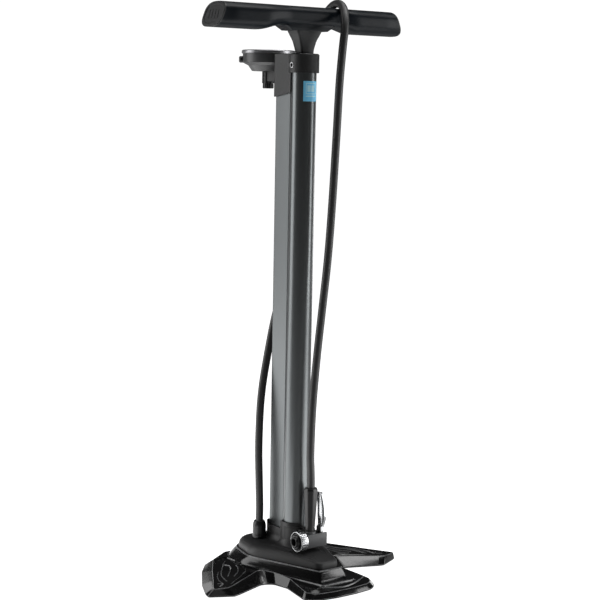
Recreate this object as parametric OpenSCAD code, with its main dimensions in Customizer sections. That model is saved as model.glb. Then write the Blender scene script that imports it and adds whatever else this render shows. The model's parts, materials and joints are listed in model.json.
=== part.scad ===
// Floor pump for bicycle tyres. Millimetres, +Z up.
// The origin is on the barrel's axis, on the floor. +X runs along the handle,
// +Y points to the gauge and -Y to the front foot and the pump head.

/* [Overall] */
// Height of the handle's top above the floor
handle_top = 680; // [660:1:720]
// Width across the two side feet
base_w = 280; // [268:1:300]
// How far the front foot and the gauge reach from the barrel's axis
base_reach = 105.5; // [104:0.5:112]
// Travel of the piston
stroke = 500; // [460:5:500]

/* [Barrel] */
// Outer radius of the round part of the barrel
barrel_r = 15; // [14.5:0.1:15.2]
// Radius of the bore that the piston runs in
bore_r = 13.5; // [13:0.1:13.6]
// Half width of the channel behind the bore
lobe_half = 12.3; // [11:0.1:12.5]
// How far back the channel reaches
lobe_back = 40; // [38:0.5:41]
// Bottom of the barrel, in its socket
barrel_z0 = 44; // [43:0.5:45]
// Top of the barrel, in the collar
barrel_z1 = 618; // [616:0.5:619]

/* [Base] */
// Top of the feet at their edge
foot_top = 11.5; // [10:0.5:12]
// Top of the glossy step that the cover stands on
step_top = 25; // [24:0.5:26]
// Top of the cover beside the socket
cover_top = 39; // [38:0.5:40]
// Top of the socket at its front
socket_top = 67; // [64:0.5:70]
// Thickness of the rubber pads
pad_t = 3; // [2.5:0.5:4]

/* [Handle] */
// Length of the handle
handle_len = 264; // [250:1:290]
// Width of the grips, front to back
grip_w = 44; // [38:1:46]
// Thickness of the grips
grip_t = 29; // [26:0.5:30]
// Thickness of the handle's middle
waist_t = 23.5; // [22:0.5:25]
// Radius of the piston rod
rod_r = 5; // [4.5:0.1:5.5]

/* [Collar and gauge] */
// Outer radius of the collar
collar_r = 17.9; // [17.5:0.1:18.5]
// Bottom of the collar ring
collar_z0 = 604; // [603:0.5:605]
// Top of the collar ring
collar_z1 = 626; // [625:0.5:627]
// Gauge centre behind the barrel's axis
gauge_y = 73; // [72.5:0.5:74]
// Radius of the gauge's bezel
gauge_r = 32.5; // [31:0.5:33]
// Top of the gauge
gauge_z1 = 631.4; // [630:0.2:633]

/* [Pump head and hose] */
// Height of the pump head's axis
head_z = 50; // [49.5:0.5:51]
// Distance of the pump head's axis in front of the barrel's axis
head_y = 30; // [30:0.5:31]
// Radius of the valve mouth
mouth_r = 4.2; // [4:0.1:4.4]
// Outer diameter of the hose
hose_d = 9.4; // [8:0.2:9.6]
// Place of the hose gland on the cover
gland_at = [-24.5, 42]; // [-30:0.5:50]

/* [Hidden] */
$fn = 48;
gap = 0.3;                       // between pieces that don't touch
slip = 0.06;                     // radial clearance of a running fit
eps = 0.01;

// Corner lists hold [x, y, corner radius], counter-clockwise.
// Right half of the feet where they meet the floor, and of their flat top.
foot_half = [
    [14, -base_reach, 60], [41, -102, 22], [52.5, -91, 11], [44.5, -46, 10], [49, -25, 10], [60, -18.5, 12],
    [103, -35, 3], [111, -37, 3], [base_w / 2 - 0.5, -23, 4], [137.5, -14, 12],
    [124, 15, 50], [96, 60, 40], [76, 84, 14], [52, 88, 12]
];
top_half = [
    [13, 4 - base_reach, 60], [37.5, -98.5, 20], [48, -89, 10], [40, -46, 8], [44.5, -20, 10], [52, 0, 8],
    [109, -28, 2], [117, -31, 2], [134.5, -27.5, 2.5], [131, -20, 8],
    [117, 2, 60], [98, 34, 40], [75, 68, 12], [50, 82, 10]
];
// The step between feet and cover: its top, its foot, and the ledge round it.
step_corners = [
    [-17, -73, 4], [17, -73, 4], [53, 25, 34], [42, 77, 24], [-42, 77, 24], [-53, 25, 34]
];
wall_corners = [
    [-19, -78, 3], [19, -78, 3], [61, 31, 36], [50, 80, 22], [-50, 80, 22], [-61, 31, 36]
];
ledge_corners = [
    [-23, -89, 5], [23, -89, 5], [37, -44, 60], [64, 36, 36], [50, 81, 24],
    [-50, 81, 24], [-64, 36, 36], [-37, -44, 60]
];
// The cover's edge, on the step.
cover_corners = [
    [-14.5, -68.5, 10], [14.5, -68.5, 10], [50, 24, 34], [39.6, 74, 22], [-39.6, 74, 22], [-50, 24, 34]
];

// Hose route: gland, up behind the barrel, over the handle, down to the pump head.
hose_route = [
    [-24.5, 42, 60.5], [-24.5, 42, 67], [-24.5, 42, 80], [-25, 43, 110], [-25, 45, 150], [-22.5, 47, 195],
    [-19, 48, 225], [-13.5, 48.5, 255], [-4, 48.5, 300], [4, 48, 330], [12, 47, 360],
    [19, 41, 400], [22, 34, 440], [24, 28, 500], [26, 28, 560], [30, 33, 600],
    [36, 38, 632], [42, 39, 649], [48, 33, 667], [50, 22, 679], [48.5, 10, 684.8],
    [46, -2, 686], [43, -13, 683.5], [39.5, -23, 677.5], [35, -31, 667], [31, -36, 653],
    [27, -38, 630], [24, -37.5, 590], [22, -36.5, 530], [18.5, -35.5, 450],
    [14, -35, 385], [7.5, -35, 328], [1, -35, 270], [-3, -34, 212], [-3.5, -32.5, 158],
    [-1, -30.5, 134], [0, -30, 120], [0, -30, 114]
];

// Derived places
base_low = 0.8;                              // the frame's underside, just above the floor
head_x0 = -10;                               // left end of the pump head's body
head_x1 = 20;                                // its right end
pivot_x = 12;                                // lever pivot
mouth_x = -24.5;                             // face of the pump head's cap
connector_z0 = head_z + 8 + 2.5;
gauge_floor = 606.6;
elbow_z = 601.4;
piston_z0 = 58;
piston_z1 = 76;
neck_top = 652;
neck_bottom = collar_z1 + 0.6;
grip_bottom = handle_top - grip_t;
lens_z = gauge_z1 - 2.6;

// ---- helpers ----

// A right half with its mirror image
function both_sides(c) = concat(c, [for (i = [len(c) - 1 : -1 : 0]) [-c[i][0], c[i][1], c[i][2]]]);
feet_corners = both_sides(foot_half);
top_corners = both_sides(top_half);

function unit(v) = v / norm(v);
function along(p, i) = p[(i + len(p)) % len(p)];
function flat(p) = [p[0], p[1]];
// Normal that points out of a counter-clockwise outline's edge
function edge_out(a, b) = let (d = unit(flat(b) - flat(a))) [d[1], -d[0]];
// The corner list moved in by d on every edge, with its corner radii kept in step
function inset(c, d) = [
    for (i = [0 : len(c) - 1])
        let (
            n1 = edge_out(along(c, i - 1), c[i]),
            n2 = edge_out(c[i], along(c, i + 1)),
            m = flat(c[i]) - (n1 + n2) * d / (1 + n1 * n2),
            convex = cross(n1, n2) > 0
        )
        [m[0], m[1], max(1.2, c[i][2] - (convex ? d : -d))]
];
// The points of a corner list, with each corner turned into an arc of steps + 1 points
function rounded(c, steps = 6) = [
    for (i = [0 : len(c) - 1])
        let (
            p = flat(c[i]),
            a = unit(flat(along(c, i - 1)) - p),
            b = unit(flat(along(c, i + 1)) - p),
            half = acos(min(1, max(-1, a * b))) / 2,
            reach = min(
                c[i][2] / tan(half),
                0.49 * norm(flat(along(c, i - 1)) - p),
                0.49 * norm(flat(along(c, i + 1)) - p)
            ),
            r = reach * tan(half),
            centre = p + unit(a + b) * r / sin(half),
            from = p + a * reach - centre,
            turn = (cross(from, p + b * reach - centre) > 0 ? 1 : -1) * (180 - 2 * half)
        )
        for (k = [0 : steps])
            let (t = turn * k / steps)
            centre + [from[0] * cos(t) - from[1] * sin(t), from[0] * sin(t) + from[1] * cos(t)]
];
// A solid through a stack of [outline, height] layers with equal point counts
module stack(layers) {
    n = len(layers[0][0]);
    points = [for (l = layers) for (p = l[0]) [p[0], p[1], l[1]]];
    skin(points, n, len(layers), [[0, 30, layers[0][1]], [0, 30, layers[len(layers) - 1][1]]]);
}
// The solid between rings of n points each; hubs are the middles of its two ends
module skin(points, n, rings, hubs) {
    low = len(points);
    faces = concat(
        [for (i = [0 : n - 1]) [low, i, (i + 1) % n]],
        [
            for (k = [0 : rings - 2]) for (i = [0 : n - 1]) for (half = [0, 1])
                let (a = k * n + i, b = k * n + (i + 1) % n)
                half == 0 ? [a, a + n, b + n] : [a, b + n, b]
        ],
        [for (i = [0 : n - 1]) let (a = (rings - 1) * n) [low + 1, a + (i + 1) % n, a + i]]
    );
    polyhedron(points = concat(points, hubs), faces = faces, convexity = 8);
}
// A point on the smooth curve through p, at step i plus t from 0 to 1
function curve(p, i, t) =
    let (
        a = p[max(0, i - 1)], b = p[i], c = p[i + 1], d = p[min(len(p) - 1, i + 2)]
    )
    0.5 * (2 * b + (c - a) * t + (2 * a - 5 * b + 4 * c - d) * t * t
        + (3 * b - a - 3 * c + d) * t * t * t);
function smooth_route(p, steps) = concat(
    [for (i = [0 : len(p) - 2]) for (k = [0 : steps - 1]) curve(p, i, k / steps)],
    [p[len(p) - 1]]
);
// A round tube along a route; side is a direction that the route never follows
module sweep(route, r, sides, side = [1, 0, 0]) {
    last = len(route) - 1;
    points = [
        for (i = [0 : last])
            let (
                t = unit(route[min(last, i + 1)] - route[max(0, i - 1)]),
                u = unit(cross(t, side)),
                v = cross(t, u)
            )
            for (k = [0 : sides - 1])
                let (a = -360 * k / sides) route[i] + r * (cos(a) * u + sin(a) * v)
    ];
    skin(points, sides, last + 1, [route[0], route[last]]);
}
function helix(r, z0, z1, turns, per_turn) = [
    for (k = [0 : turns * per_turn])
        [r * cos(360 * k / per_turn), r * sin(360 * k / per_turn),
            z0 + (z1 - z0) * k / (turns * per_turn)]
];
module tube(r_out, r_in, h) {
    difference() {
        cylinder(r = r_out, h = h);
        translate([0, 0, -1]) cylinder(r = r_in, h = h + 2);
    }
}
// The barrel's outline: a circle with a flat-sided channel behind it
module barrel_outline(grow = 0) {
    corner = 2.6 + grow;
    circle(r = barrel_r + grow, $fn = 96);
    translate([-lobe_half - grow, 0]) square([2 * (lobe_half + grow), lobe_back - 2.6]);
    translate([-lobe_half + 2.6, 0]) square([2 * (lobe_half - 2.6), lobe_back + grow]);
    for (s = [-1, 1]) translate([s * (lobe_half - 2.6), lobe_back - 2.6]) circle(r = corner);
}
module along_x(x, y, z) { translate([x, y, z]) rotate([0, 90, 0]) children(); }
module along_y(x, y, z) { translate([x, y, z]) rotate([-90, 0, 0]) children(); }

// ---- base ----

module base_frame() color("#141516") difference() {
    union() {
        stack([
            [rounded(inset(feet_corners, 1)), base_low],
            [rounded(feet_corners), 2.2],
            [rounded(top_corners), foot_top]
        ]);
        // the feet rise towards the step
        for (s = [-1, 1]) hull() {
            translate([s * 104, -6, foot_top - 2]) cylinder(r = 14, h = 2.2, $fn = 32);
            translate([s * 77, 44, foot_top - 2]) cylinder(r = 15, h = 2.2, $fn = 32);
            translate([s * 40, 42, foot_top - 2]) cylinder(r = 14, h = 7.5, $fn = 32);
            translate([s * 40, 10, foot_top - 2]) cylinder(r = 12, h = 7.5, $fn = 32);
        }
        // ledge around the step, then the step itself
        stack([
            [rounded(ledge_corners), foot_top - 2],
            [rounded(ledge_corners), foot_top + 0.7],
            [rounded(inset(ledge_corners, 0.8)), foot_top + 1.5]
        ]);
        stack([
            [rounded(wall_corners), foot_top - 2],
            [rounded(wall_corners), 14.2],
            [rounded(step_corners), step_top - 0.8],
            [rounded(inset(step_corners, 0.8)), step_top]
        ]);
        front_rings();
        for (s = [-1, 1]) mirror([s < 0 ? 1 : 0, 0, 0]) {
            // ribs in the foot plate
            for (k = [0 : 3]) translate([96 - 8 * k, 4 + 9 * k, 8])
                rotate([0, 0, 54]) translate([-13, -1, 0]) cube([26 - 2 * k, 1.2, 4.4]);
        }
    }
    // hollow under the cover
    translate([0, 0, -1])
        linear_extrude(30) polygon(rounded(inset(step_corners, 7)));
    // recessed plates that the user's feet stand on
    for (s = [-1, 1]) mirror([s < 0 ? 1 : 0, 0, 0]) difference() {
        translate([0, 0, foot_top - 1.2]) linear_extrude(1.21) polygon(rounded(plate_corners));
        for (k = [0 : 4]) translate([114 - 9 * k, -16 + 13 * k, 0])
            rotate([0, 0, 22]) translate([-12, -0.6, 0]) cube([24, 1.2, 40]);
    }
    // seats of the rubber pads
    for (s = [-1, 1]) side_pad(s, gap / 2, 3);
    front_pad(gap / 2, 3);
}
plate_corners = [[110, -25, 3], [130, -23, 3], [114, 3, 60], [95, 34, 30], [86, 24, 10], [94, 2, 10]];
module front_rings() intersection() {
    translate([-36, -101, 0]) cube([72, 30, 20]);
    for (r = [56, 60]) translate([0, -37, foot_top - 1])
        rotate_extrude(angle = -180, $fn = 96) translate([r, 0]) square([1.5, 1.8]);
}
module side_pad(s, grow, h) {
    pad = [[100, -20, 8], [122, -14, 8], [106, 22, 12], [82, 44, 12], [72, 30, 8]];
    scale_x = [for (p = pad) [s * p[0], p[1], p[2]]];
    corners = s > 0 ? scale_x : [for (i = [len(pad) - 1 : -1 : 0]) scale_x[i]];
    translate([0, 0, grow > 0 ? -1 : 0])
        linear_extrude(grow > 0 ? h + 1 + grow : h) polygon(rounded(inset(corners, -grow)));
}
module front_pad(grow, h) {
    corners = [[-26, -97, 10], [26, -97, 10], [34, -87, 8], [-34, -87, 8]];
    translate([0, 0, grow > 0 ? -1 : 0])
        linear_extrude(grow > 0 ? h + 1 + grow : h) polygon(rounded(inset(corners, -grow)));
}
module pad_left() color("#202020") side_pad(-1, 0, pad_t);
module pad_right() color("#202020") side_pad(1, 0, pad_t);
module pad_front() color("#202020") front_pad(0, pad_t);

screw_places = [[-34, 52], [34, 52], [-22, -10], [22, -10]];
module ballast_plate() color("#6d7073") difference() {
    translate([0, 0, 1.2]) linear_extrude(4) polygon(rounded(inset(step_corners, 7.4)));
    for (p = screw_places) translate([p[0], p[1], 0]) {
        cylinder(r = 2.2, h = 10);
        translate([0, 0, -1]) cylinder(r = 4.3, h = 4.4);
    }
}
module base_screws() color("#8c8f92") for (p = screw_places) translate([p[0], p[1], 0]) {
    difference() {
        translate([0, 0, 1.4]) cylinder(r = 4, h = 2);
        translate([0, 0, 1]) cylinder(r = 1.8, h = 1.6, $fn = 6);
    }
    translate([0, 0, 3.4]) cylinder(r = 1.95, h = 18);
}

// ---- cover, socket and cradle ----

module cover_shell(d, lift) {
    stack([
        [rounded(inset(cover_corners, d)), step_top + 0.1 - (d > 0 ? 1 : 0)],
        [rounded(inset(cover_corners, 0.6 + d)), step_top + 5 - lift],
        [rounded(inset(cover_corners, 3.9 + d)), step_top + 9 - lift],
        [rounded(inset(cover_corners, 10.4 + d)), cover_top - lift - 1.6],
        [rounded(inset(cover_corners, 16.4 + d)), cover_top - lift]
    ]);
}
module socket_outline(grow = 0) {
    circle(r = 17.6 + grow, $fn = 96);
    translate([-15 - grow, 0]) square([30 + 2 * grow, 38]);
    translate([-10 - grow, 30]) square([20 + 2 * grow, 13 + grow]);
    for (s = [-1, 1]) translate([s * 10, 38]) circle(r = 5 + grow);
}
module pedestal_cover() color("#454749") difference() {
    union() {
        difference() {
            cover_shell(0, 0);
            nose_cut(0);
        }
        translate([0, 0, cover_top - 4]) linear_extrude(socket_top - cover_top + 4)
            socket_outline();
        // flare where the socket meets the cover
        translate([0, 0, cover_top - 2]) linear_extrude(4.5) socket_outline(2.5);
        for (p = screw_places) translate([p[0], p[1], 5.5]) cylinder(r = 5, h = 25);
    }
    difference() {
        cover_shell(3, 3);
        nose_cut(-3);
        // posts for the screws
        for (p = screw_places) translate([p[0], p[1], 0]) cylinder(r = 5, h = 60);
    }
    // seats of the hose gland and the head's cradle
    translate([gland_at[0], gland_at[1], cover_top + 0.05]) cylinder(r = 8.5, h = 30);
    translate([-8.2, -57.6, cover_top + 0.6]) cube([24.4, 40, 30]);
    for (p = screw_places) translate([p[0], p[1], 0]) {
        cylinder(r = 2, h = 27);
        cylinder(r = 5.5, h = 6);
    }
    translate([0, 0, barrel_z0]) linear_extrude(60) barrel_outline(0.15);
    translate([0, 0, 20]) cylinder(r = barrel_r + 0.2, h = barrel_z0 - 20 + eps);
    translate([-8, 14, 30]) cube([16, 22, 20]);
    translate([gland_at[0], gland_at[1], 20]) cylinder(r = 5.2, h = 40);
    // lower rim beside the channel and in front
    translate([-30, 11, 56]) cube([60, 27, 30]);
    translate([-30, 37, 60]) cube([60, 27, 30]);
    translate([-2, -30, 61]) cube([22, 22, 30]);
}
// The nose falls away in front of the pump head
module nose_cut(lift) {
    translate([-70, -16, cover_top + lift]) rotate([8, 0, 0]) translate([0, -110, 0])
        cube([140, 110, 40]);
}
module head_cradle() color("#3a3c3e") difference() {
    translate([-8, -head_y - 3, head_z - 10.3]) cube([19.5, 12.4 + 3, 20.6]);
    // the pump head's body
    translate([-20, -head_y - 8 - 0.15, head_z - 8.15]) cube([60, 16.3, 16.3]);
    // the socket behind it
    cylinder(r = 17.62, h = 100, $fn = 96);
    // room for the lever and the hose
    translate([4, -head_y - 5.2, head_z]) cube([30, 10.4, 20]);
    translate([0, -head_y, head_z]) cylinder(r = 7.4, h = 30);
}

// ---- barrel ----

module barrel() color("#75787a") difference() {
    translate([0, 0, barrel_z0]) linear_extrude(barrel_z1 - barrel_z0) difference() {
        barrel_outline();
        circle(r = bore_r, $fn = 96);
        translate([-lobe_half + 1.8, 16.4]) square([2 * lobe_half - 3.6, lobe_back - 18.2]);
        // shallow groove where the channel meets the round part
        for (s = [-1, 1]) translate([s * (lobe_half + 0.9), 8.6]) circle(r = 1.4, $fn = 24);
    }
    // notch for the gauge's pipe elbow
    translate([-4.3, 30, elbow_z - 4.3]) cube([8.6, 20, 60]);
}
module barrel_label() color("#4fa0d2") rotate([0, 0, -90 - 37])
    rotate_extrude(angle = 74, $fn = 96) translate([barrel_r + 0.02, 571]) square([0.28, 23.4]);

// ---- valve at the foot of the barrel ----

module bottom_plug() color("#9a9da0") difference() {
    union() {
        translate([0, 0, 40]) cylinder(r = 14.9, h = barrel_z0 - 40 - 0.05);
        translate([0, 0, 40]) cylinder(r = bore_r - slip, h = 12);
    }
    cylinder(r = 2.5, h = 100);
    translate([0, 0, 30]) cylinder(r = 6, h = 14);
    translate([0, 0, 46.4]) tube(20, 11.4, 2.2);
}
module plug_seal() color("#1b1b1b") translate([0, 0, 46.5]) tube(bore_r - 0.05, 11.5, 2);
module valve_poppet() color("#d8d4c4") {
    translate([0, 0, 41.5]) cylinder(r = 4.6, h = 2.2);
    translate([0, 0, 36.5]) cylinder(r = 1.5, h = 5.1);
}
module valve_spring() color("#b9bcc0")
    sweep(helix(2.8, 34.4, 41, 4, 14), 0.35, 6, [0, 0, 1]);
module air_manifold() color("#2b2c2e") difference() {
    union() {
        translate([0, 0, 30]) cylinder(r = 14, h = 9.9);
        // arm to the hose gland
        hull() {
            translate([0, 0, 30]) cylinder(r = 6, h = 4, $fn = 32);
            translate([gland_at[0], gland_at[1], 30]) cylinder(r = 6, h = 1, $fn = 32);
        }
        // boss for the gauge pipe
        translate([-6, 0, 30]) cube([12, 32, 5.4]);
        translate([0, 27, 30]) cylinder(r = 5.5, h = 16);
    }
    translate([0, 0, 34]) cylinder(r = 6, h = 10);
    translate([0, 27, 32.5]) cylinder(r = 2.1, h = 20);
    along_y(0, 0, 33) cylinder(r = 0.9, h = 27);
}
module gauge_pipe() color("#d9d9d6")
    translate([0, 27, 33]) tube(2, 1.1, elbow_z - 33.2);
module pipe_elbow() color("#b59a4a") difference() {
    union() {
        translate([0, 27, 595]) cylinder(r = 4.2, h = 12);
        along_y(0, 27, elbow_z) cylinder(r = 4, h = gauge_y - 27 - 4.6);
    }
    translate([0, 27, 590]) cylinder(r = 2.05, h = elbow_z - 590);
    along_y(0, 27, elbow_z) cylinder(r = 1, h = 60);
}

// ---- collar, guide and gauge ----

module arm_outline() {
    for (s = [-1, 1]) translate([s * 9.7, 36]) circle(r = 6);
    translate([-15.7, 4.6]) square([31.4, 31.4]);
    translate([-9.7, 4.6]) square([19.4, 37.4]);
}
module top_collar() color("#3f4143") difference() {
    union() {
        translate([0, 0, collar_z0]) linear_extrude(collar_z1 - collar_z0 - 1.2) {
            circle(r = collar_r, $fn = 96);
            translate([-15.7, 0]) square([31.4, 22.7]);
        }
        translate([0, 0, collar_z1 - 1.2]) cylinder(r1 = collar_r, r2 = collar_r - 1.2, h = 1.2, $fn = 96);
        translate([-15, 0, collar_z1 - 1.3]) cube([30, 22, 1.3]);
        translate([0, 0, 576]) linear_extrude(collar_z1 - 576) arm_outline();
        // web and boss that carry the gauge
        translate([-5, 38, 594.6]) cube([10, gauge_y - 38, 11.7]);
        translate([0, gauge_y, 592.2]) cylinder(r = 6.9, h = 14);
        for (k = [0 : 11]) rotate_about(gauge_y, 30 * k) translate([6.9, 0, 592.2])
            cylinder(r = 0.6, h = 14, $fn = 16);
    }
    // the barrel, the rod and the bush's flange
    translate([0, 0, 570]) linear_extrude(barrel_z1 - 570 + 0.1) barrel_outline(0.15);
    translate([0, 0, barrel_z1]) cylinder(r = 16.2, h = 5.2);
    cylinder(r = 8.2, h = 700);
    // slanted lower edge
    translate([-30, 4, 581.3]) rotate([-8.8, 0, 0]) translate([0, -4, -30]) cube([60, 60, 30]);
    // pipe elbow
    along_y(0, 27, elbow_z) cylinder(r = 4.1, h = gauge_y - 27 - 4.4);
    translate([0, gauge_y, 590]) cylinder(r = 4.3, h = 20);
    // the gauge's cup stands in the arm's back
    translate([0, gauge_y, gauge_floor]) cylinder(r = gauge_r - 1.2, h = 40, $fn = 96);
    // side screws
    for (s = [-1, 1]) along_x(s > 0 ? 15.6 : -20, 0, 612.6) cylinder(r = 3.6, h = 4.4);
    for (s = [-1, 1]) along_x(s > 0 ? 14 : -18, 0, 612.6) cylinder(r = 2.1, h = 4);
}
module rotate_about(y, a) { translate([0, y, 0]) rotate([0, 0, a]) children(); }
module collar_screws() color("#c9ccce") for (s = [-1, 1]) mirror([s < 0 ? 1 : 0, 0, 0])
    difference() {
        union() {
            along_x(15.7, 0, 612.6) cylinder(r = 3.5, h = 2.3);
            along_x(15.2, 0, 612.6) cylinder(r = 2, h = 1);
        }
        along_x(16.4, 0, 612.6) cylinder(r = 1.75, h = 3, $fn = 6);
    }
module guide_bush() color("#c8c4b4") difference() {
    union() {
        translate([0, 0, 590]) cylinder(r = bore_r - 0.1, h = barrel_z1 - 590 + 0.2);
        translate([0, 0, barrel_z1 + 0.1]) cylinder(r = 16, h = 4.8);
    }
    cylinder(r = rod_r + slip, h = 700);
}
module at_gauge(z) { translate([0, gauge_y, z]) children(); }
module gauge_housing() color("#1d1e20") {
    gauge_shell();
    // rest for the button's spring
    rotate_about(gauge_y, 145) translate([22, -2.5, 615.9]) cube([1.2, 5, 7]);
}
module gauge_shell() difference() {
    union() {
        at_gauge(616.4) cylinder(r = gauge_r - 1.4, h = 11, $fn = 96);
        at_gauge(gauge_floor) cylinder(r1 = 19.8, r2 = 24.6, h = 6.6, $fn = 96);
        at_gauge(613.2) cylinder(r1 = 24.6, r2 = gauge_r - 1.4, h = 3.2, $fn = 96);
        at_gauge(587) cylinder(r = 4, h = 20);
    }
    at_gauge(616) cylinder(r = gauge_r - 3.4, h = 20, $fn = 96);
    at_gauge(610) cylinder(r = 20, h = 10, $fn = 96);
    at_gauge(585) cylinder(r = 1.2, h = 30);
    // way in for the air
    along_y(0, gauge_y - 6, elbow_z) cylinder(r = 1, h = 6);
    // release button
    at_button() translate([0, 0, -6]) cylinder(r = 4.06, h = 10);
}
module gauge_dial() color("#f2f2ee") difference() {
    at_gauge(624.8) cylinder(r = gauge_r - 3.6, h = 0.8, $fn = 96);
    at_gauge(620) cylinder(r = 1.6, h = 10);
}
module gauge_needle() color("#d2322c") {
    at_gauge(612) cylinder(r = 0.8, h = 15.6);
    at_gauge(626) cylinder(r = 2.6, h = 1.4);
    for (end = [[-17.5, 0.4], [5, 1.5]]) hull() {
        at_gauge(626.3) cylinder(r = 1.3, h = 0.7, $fn = 16);
        translate([end[0], gauge_y + end[0], 626.3]) cylinder(r = end[1], h = 0.7, $fn = 16);
    }
}
module bourdon_tube() color("#b08d57") at_gauge(611) {
    rotate_extrude(angle = 265) translate([13, 2]) square([2, 4.4]);
    difference() {
        translate([-4, -4, -0.8]) cube([8, 8, 6]);
        translate([0, 0, -2]) cylinder(r = 0.86, h = 10);
    }
    translate([3.9, -2.4, 2]) cube([9.2, 2.4, 4]);
}
module gauge_lens() color("#e8f2f6", 0.35) at_gauge(lens_z) cylinder(r = gauge_r - 2.5, h = 1.6, $fn = 96);
module gauge_bezel() color("#c6c9cc") at_gauge(0) difference() {
    union() {
        translate([0, 0, 627.5]) cylinder(r = gauge_r, h = 2.9, $fn = 96);
        translate([0, 0, 630.4]) cylinder(r1 = gauge_r, r2 = gauge_r - 1, h = 1, $fn = 96);
    }
    translate([0, 0, 620]) cylinder(r = gauge_r - 3.4, h = 20, $fn = 96);
    translate([0, 0, lens_z - 0.1]) cylinder(r = gauge_r - 2.4, h = 1.75, $fn = 96);
}
module gauge_nut() color("#111213") difference() {
    union() {
        at_gauge(586) cylinder(r = 6.2, h = 6.1);
        for (k = [0 : 17]) rotate_about(gauge_y, 20 * k) translate([6.2, 0, 586.4])
            cylinder(r = 0.5, h = 5.3, $fn = 16);
    }
    at_gauge(580) cylinder(r = 4.05, h = 20);
}
// The button stands on the gauge's side, 35 degrees behind -X
module at_button() {
    translate([0, gauge_y, 620.2]) rotate([0, 0, 145]) translate([gauge_r - 1.4, 0, 0])
        rotate([0, 90, 0]) children();
}
module release_button() color("#2a2b2d") at_button() {
    translate([0, 0, -3.2]) cylinder(r = 4, h = 6.4);
    translate([0, 0, 3.2]) cylinder(r1 = 4, r2 = 2.8, h = 1.4);
}
module button_spring() color("#b9bcc0") at_button()
    sweep(helix(2.2, -7.4, -3.6, 3, 12), 0.3, 6, [0, 0, 1]);

// ---- hose and pump head ----

module hose_gland() color("#18191a") translate([gland_at[0], gland_at[1], 0]) difference() {
    union() {
        translate([0, 0, cover_top + 0.1]) cylinder(r = 8.2, h = 17.4);
        translate([0, 0, cover_top + 17.4]) cylinder(r1 = 8.2, r2 = 6.2, h = 4.1);
        translate([0, 0, 32.4]) cylinder(r = 5, h = 8);
    }
    translate([0, 0, 30]) cylinder(r = 2, h = 30.5);
}
module hose() color("#242526") sweep(smooth_route(hose_route, 2), hose_d / 2, 12);
module hose_connector() color("#161718") translate([0, -head_y, 0]) {
    translate([0, 0, connector_z0 + 0.1]) cylinder(r = 5.6, h = 6);
    translate([0, 0, connector_z0 + 6]) cylinder(r1 = 5.6, r2 = 7.8, h = 42);
    translate([0, 0, connector_z0 + 48]) cylinder(r1 = 7.8, r2 = 6, h = 114 - connector_z0 - 48);
}
module head_body() color("#6a6c6e") difference() {
    union() {
        translate([head_x0, -head_y - 8, head_z - 8]) cube([head_x1 - head_x0, 16, 16]);
        translate([0, -head_y, head_z + 7]) cylinder(r = 7, h = 3.5);
        along_x(head_x0 - 5, -head_y, head_z) cylinder(r = 7.4, h = 6);
    }
    // slot of the lever
    translate([5.5, -head_y - 5, head_z - 20]) cube([40, 10, 40]);
    // bore of the plunger
    along_x(head_x0 - 10, -head_y, head_z) cylinder(r = 5, h = 30);
    along_y(pivot_x, -head_y - 20, head_z) cylinder(r = 1.6, h = 40);
}
module head_ring() color("#d8dadc") along_x(head_x0 - 11.5, -head_y, head_z)
    difference() {
        union() {
            translate([0, 0, 1]) cylinder(r = 12.2, h = 9.5);
            cylinder(r1 = 11.4, r2 = 12.2, h = 1.01);
            translate([0, 0, 10.5]) cylinder(r1 = 12.2, r2 = 11.4, h = 0.9);
        }
        translate([0, 0, -1]) cylinder(r = 9.9, h = 10.5);
        translate([0, 0, 8]) cylinder(r = 7.5, h = 6);
    }
module head_cap() color("#19191a") difference() {
    union() {
        along_x(mouth_x, -head_y, head_z) cylinder(r = 9.2, h = 9.3, $fn = 6);
    }
    along_x(mouth_x - 1, -head_y, head_z) cylinder(r = mouth_r, h = 20);
    along_x(mouth_x + 8, -head_y, head_z) cylinder(r = 6.6, h = 20);
}
module head_gasket() color("#3c3c3c") along_x(mouth_x + 8.1, -head_y, head_z)
    tube(6.5, 3.7, 1.1);
module head_plunger() color("#cfcabb") along_x(-14.2, -head_y, head_z) difference() {
    cylinder(r = 5 - slip, h = 21);
    translate([0, 0, -1]) cylinder(r = 3.4, h = 9);
}
module head_lever() color("#cfd1d3") difference() {
    union() {
        along_y(pivot_x, -head_y - 4.7, head_z) cylinder(r = 4.4, h = 9.4);
        translate([pivot_x + 0.2, -head_y - 4.7, head_z]) cube([4.2, 9.4, 15]);
        lever_plate();
    }
    along_y(pivot_x, -head_y - 20, head_z) cylinder(r = 1.56, h = 40);
}
// The lever's plate is a bowed strip, seen along Y
module lever_plate() translate([0, -head_y + 7, 0]) rotate([90, 0, 0]) linear_extrude(14)
    polygon([
        for (k = [1 : 10]) [pivot_x + 4.6 + 3.2 * sin(18 * k) - 1.6 * k / 10, head_z + 8.7 + 4.73 * k],
        for (k = [10 : -1 : 1])
            [pivot_x + 1.2 + 3.2 * sin(18 * k) - 1 * k / 10, head_z + 8.7 + 4.73 * k]
    ]);
module lever_pin() color("#9a9da0")
    along_y(pivot_x, -head_y - 8.1, head_z) cylinder(r = 1.5, h = 16.2);

// ---- piston ----

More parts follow.
